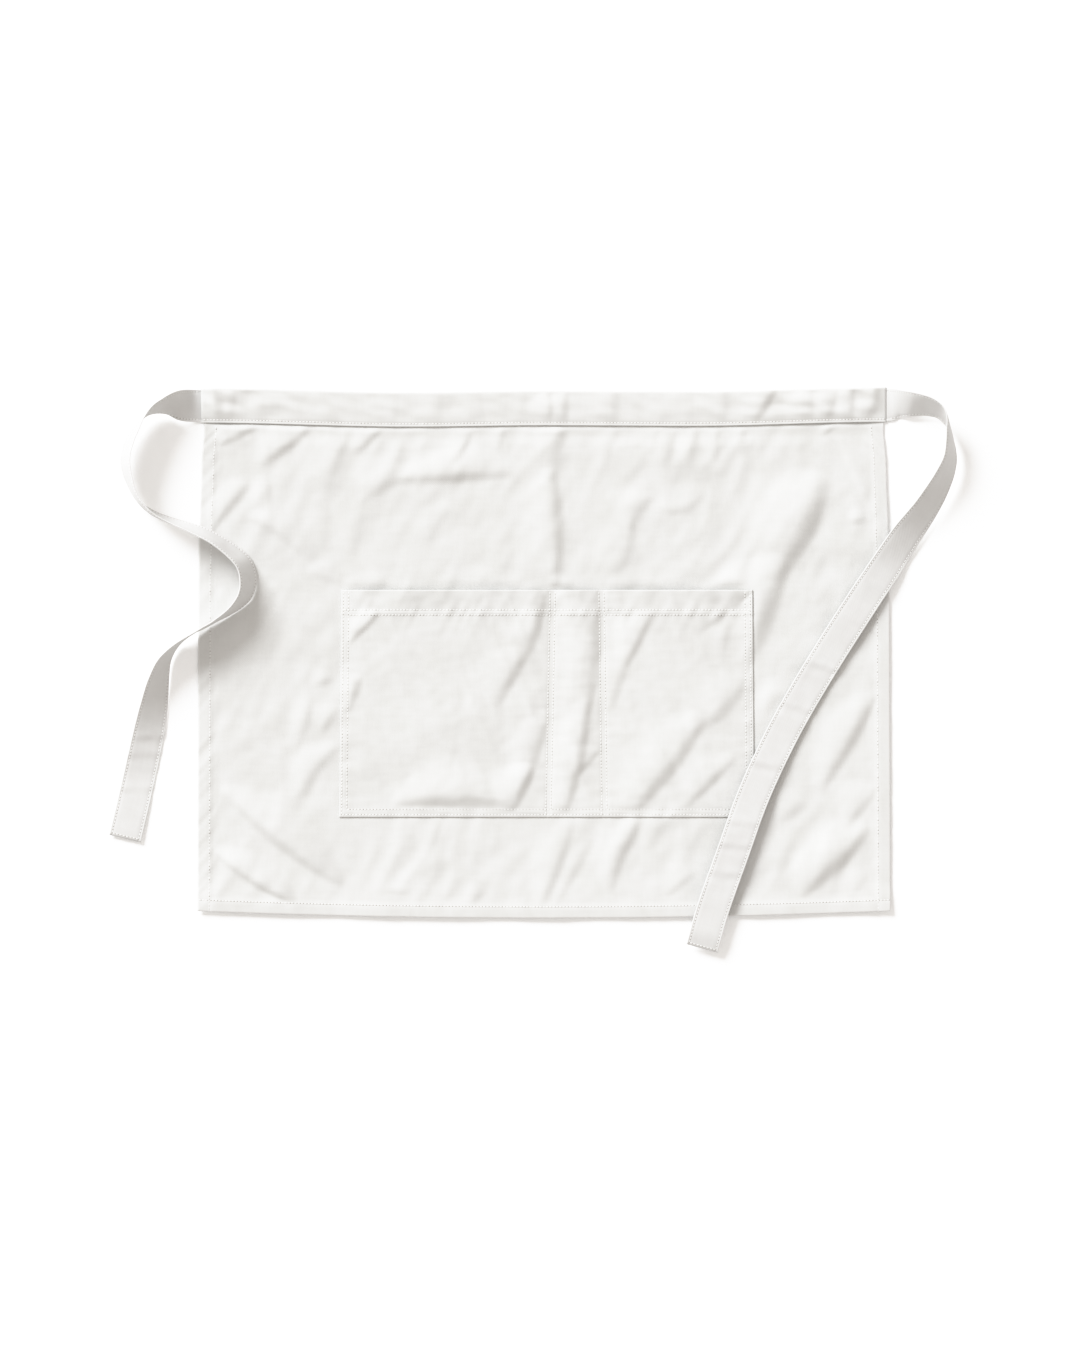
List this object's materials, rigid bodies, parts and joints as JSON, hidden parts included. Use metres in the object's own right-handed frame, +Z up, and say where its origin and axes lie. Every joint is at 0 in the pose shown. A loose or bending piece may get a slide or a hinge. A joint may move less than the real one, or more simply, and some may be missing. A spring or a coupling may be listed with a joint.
{
  "type": "waist apron",
  "caption": "Half-length waist apron of white cotton twill with a divided patch pocket and long waist ties, lying face up.",
  "frame": {"origin": "on the table under the middle of the front panel, at the rest face", "axes": "+Z up off the table, +Y from the hem to the waistband, +X to the right as the apron is seen from above"},
  "size_m": [0.8477, 0.5655, 0.0424],
  "materials": {
    "panel_twill": "woven cotton twill, bleached white, matt",
    "band_twill": "woven cotton twill, folded and topstitched, bleached white, matt",
    "pocket_twill": "woven cotton twill with a turned top hem, bleached white, matt",
    "tie_twill": "woven cotton twill, folded double and topstitched, bleached white, matt"
  },
  "bodies": {
    "root": {"front_panel": "panel_twill", "waistband": "band_twill", "patch_pocket": "pocket_twill", "left_tie": "tie_twill", "right_tie": "tie_twill"}
  },
  "joints": []
}
